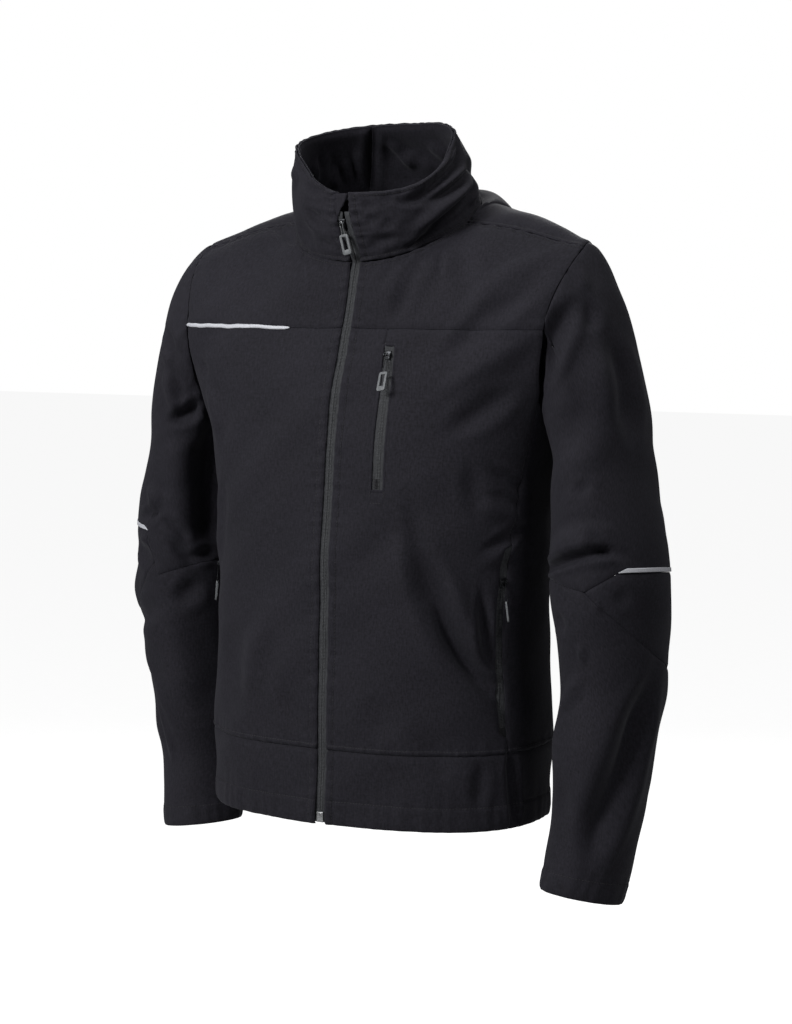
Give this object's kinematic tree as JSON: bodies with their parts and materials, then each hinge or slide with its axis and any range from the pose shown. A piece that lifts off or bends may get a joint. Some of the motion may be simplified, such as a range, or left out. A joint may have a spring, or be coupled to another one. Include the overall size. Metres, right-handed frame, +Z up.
{
  "type": "work jacket",
  "caption": "Zipped softshell work jacket with a tall stand collar, chest and hand pocket zips, elbow inserts and a hem band, filled out as if worn and hollow inside.",
  "frame": {"origin": "on the mid-plane inside the neck, at the height where the shoulders meet the neck; where the jacket is held up", "axes": "+Z up along the body, -Y towards the front with the zip, +X towards the wearer's left"},
  "size_m": [0.6583, 0.275, 0.8149],
  "materials": {
    "cloth": "matte woven softshell",
    "piping": "reflective silver tape",
    "tape": "woven zip tape",
    "slider": "dark coated metal",
    "pull": "moulded rubber-like pull tab"
  },
  "bodies": {
    "jacket": {"front_left": "cloth", "front_right": "cloth", "yoke_left": "cloth", "yoke_right": "cloth", "back": "cloth", "waistband_left": "cloth", "waistband_right": "cloth", "waistband_back": "cloth", "collar": "cloth", "collar_facing_left": "cloth", "collar_facing_right": "cloth", "sleeve_upper_left": "cloth", "sleeve_upper_right": "cloth", "sleeve_elbow_left": "cloth", "sleeve_elbow_right": "cloth", "sleeve_lower_left": "cloth", "sleeve_lower_right": "cloth", "zip_garage": "cloth", "chest_piping": "piping", "elbow_piping_left": "piping", "elbow_piping_right": "piping", "zip_tape_left": "tape", "zip_tape_right": "tape", "chest_zip_tape": "tape", "pocket_zip_tape_left": "tape", "pocket_zip_tape_right": "tape", "zip_slider": "slider", "zip_end": "slider", "chest_zip_slider": "slider", "pocket_zip_slider_left": "slider", "pocket_zip_slider_right": "slider"},
    "main_pull": {"zip_pull": "pull"},
    "chest_pull": {"chest_zip_pull": "pull"},
    "pocket_pull_left": {"pocket_zip_pull_left": "pull"},
    "pocket_pull_right": {"pocket_zip_pull_right": "pull"}
  },
  "joints": [
    {"name": "main_pull_hinge", "type": "hinge", "parent": "jacket", "child": "main_pull", "pos_m": [0, -0.08392, -0.02161], "axis": [-1, 0, 0], "range_deg": [0, 120]},
    {"name": "chest_pull_hinge", "type": "hinge", "parent": "jacket", "child": "chest_pull", "pos_m": [0.05855, -0.08951, -0.15656], "axis": [-0.9995, -0.0321, 0], "range_deg": [0, 150]},
    {"name": "pocket_pull_left_hinge", "type": "hinge", "parent": "jacket", "child": "pocket_pull_left", "pos_m": [0.17664, -0.05281, -0.38998], "axis": [-0.4736, -0.8807, 0], "range_deg": [0, 150]},
    {"name": "pocket_pull_right_hinge", "type": "hinge", "parent": "jacket", "child": "pocket_pull_right", "pos_m": [-0.17664, -0.05281, -0.38998], "axis": [-0.4736, 0.8807, 0], "range_deg": [0, 150]}
  ]
}
